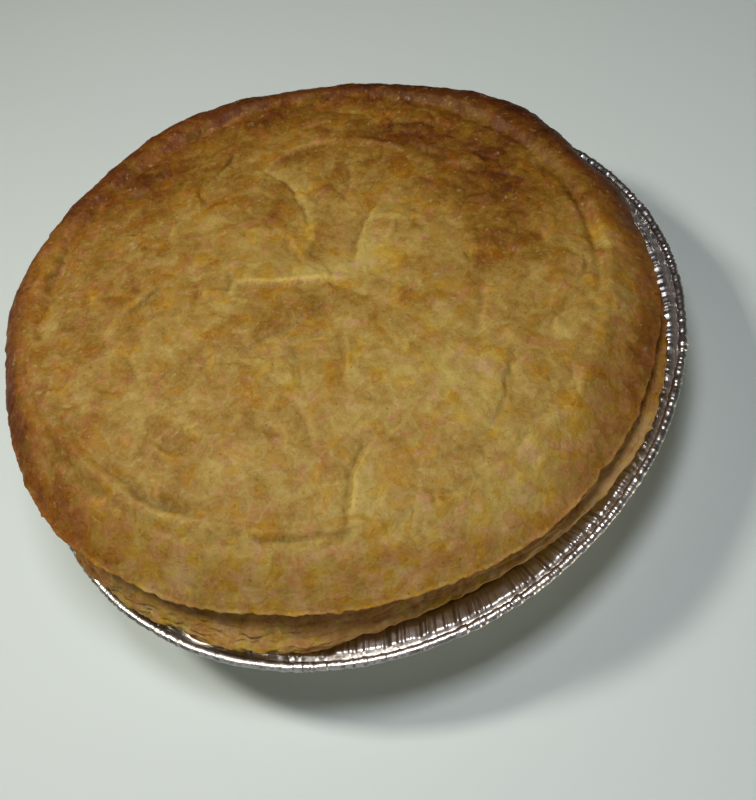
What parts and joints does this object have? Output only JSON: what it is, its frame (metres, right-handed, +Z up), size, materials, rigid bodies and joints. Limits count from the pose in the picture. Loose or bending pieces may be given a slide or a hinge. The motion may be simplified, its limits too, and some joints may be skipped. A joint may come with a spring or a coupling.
{
  "type": "steak pie in a foil dish",
  "caption": "Uncut family steak pie: a browned puff pastry lid on a filled pastry case, in its own round foil dish.",
  "frame": {"origin": "middle of the dish's base, on the surface it stands on", "axes": "+Z up out of the dish, -Y towards the side where the crust and the lid part, +X to the right of that side"},
  "size_m": [0.228, 0.2242, 0.0746],
  "materials": {
    "foil": "thin pressed foil, bright and crimped",
    "case_pastry": "baked flaky pastry, golden brown, stands for food",
    "lid_pastry": "egg-washed puff pastry, golden to brown, stands for food"
  },
  "bodies": {
    "root": {"foil_dish": "foil", "pastry_case": "case_pastry", "pastry_lid": "lid_pastry"}
  },
  "joints": []
}
